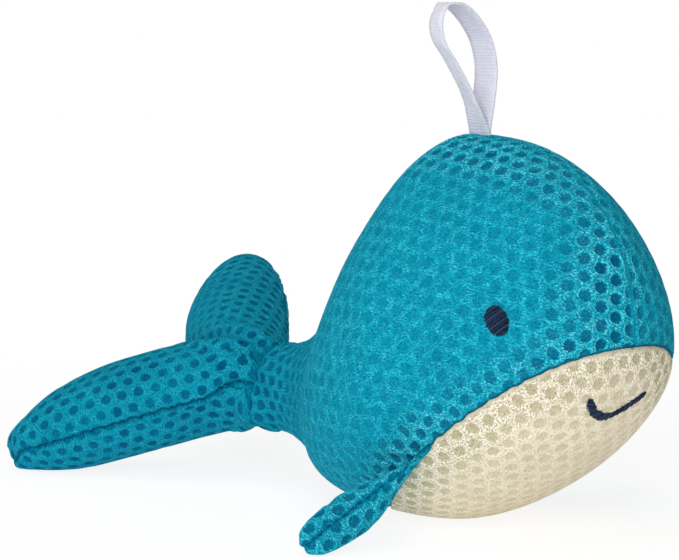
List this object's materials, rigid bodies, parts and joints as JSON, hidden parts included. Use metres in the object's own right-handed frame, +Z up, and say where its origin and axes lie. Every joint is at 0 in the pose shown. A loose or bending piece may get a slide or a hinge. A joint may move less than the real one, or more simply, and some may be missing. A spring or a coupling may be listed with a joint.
{
  "type": "squeaky whale bath toy",
  "caption": "Plump stuffed whale in teal and cream spacer mesh with hinged flippers and flukes, a ribbon loop and a squeaker inside.",
  "frame": {"origin": "in the middle of the flat patch that the belly rests on", "axes": "+X the way the whale looks, +Y its left side, +Z up"},
  "size_m": [0.2179, 0.1429, 0.1423],
  "materials": {
    "teal_mesh": "open knitted spacer mesh",
    "cream_mesh": "open knitted spacer mesh",
    "fibre_fill": "soft fibre filling",
    "navy_thread": "satin stitch embroidery",
    "white_ribbon": "ribbed woven ribbon",
    "squeaker_plastic": "moulded, plain",
    "squeaker_plug_plastic": "moulded, plain",
    "squeaker_bellows_plastic": "thin and flexible",
    "reed_film": "thin film"
  },
  "bodies": {
    "torso": {"right_side_panel": "teal_mesh", "left_side_panel": "teal_mesh", "belly_panel": "cream_mesh", "torso_stuffing": "fibre_fill", "right_eye": "navy_thread", "left_eye": "navy_thread", "smile": "navy_thread", "squeaker_base": "squeaker_plastic", "squeaker_plug": "squeaker_plug_plastic", "squeaker_reed": "reed_film", "squeaker_bellows": "squeaker_bellows_plastic"},
    "squeaker_cap": {"squeaker_cap": "squeaker_plastic"},
    "right_flipper": {"right_flipper_upper_panel": "teal_mesh", "right_flipper_lower_panel": "teal_mesh", "right_flipper_stuffing": "fibre_fill"},
    "left_flipper": {"left_flipper_upper_panel": "teal_mesh", "left_flipper_lower_panel": "teal_mesh", "left_flipper_stuffing": "fibre_fill"},
    "flukes": {"fluke_top_panel": "teal_mesh", "fluke_bottom_panel": "teal_mesh", "fluke_stuffing": "fibre_fill"},
    "hanging_loop": {"hanging_loop": "white_ribbon"}
  },
  "joints": [
    {"name": "right_flipper_flap", "type": "hinge", "parent": "torso", "child": "right_flipper", "pos_m": [0.03112, -0.03865, 0.02466], "axis": [-0.7624, 0.1627, -0.6264], "range_deg": [-27, 46], "stiffness_Nm_per_rad": 0.05},
    {"name": "left_flipper_flap", "type": "hinge", "parent": "torso", "child": "left_flipper", "pos_m": [0.03112, 0.03865, 0.02466], "axis": [0.7624, 0.1627, 0.6264], "range_deg": [-73, 0], "stiffness_Nm_per_rad": 0.05},
    {"name": "flukes_bend", "type": "hinge", "parent": "torso", "child": "flukes", "pos_m": [-0.07598, 0, 0.029], "axis": [0, 0.8988, 0.4384], "range_deg": [-14, 14], "stiffness_Nm_per_rad": 0.3},
    {"name": "hanging_loop_swing", "type": "hinge", "parent": "torso", "child": "hanging_loop", "pos_m": [0.01104, 0, 0.10725], "axis": [1, 0, 0], "range_deg": [-75, 60], "stiffness_Nm_per_rad": 0.002},
    {"name": "squeaker_press", "type": "slide", "parent": "torso", "child": "squeaker_cap", "axis": [0, 0, -1], "range_m": [0, 0.005], "stiffness_N_per_m": 400, "deforming": ["squeaker_bellows"]}
  ]
}
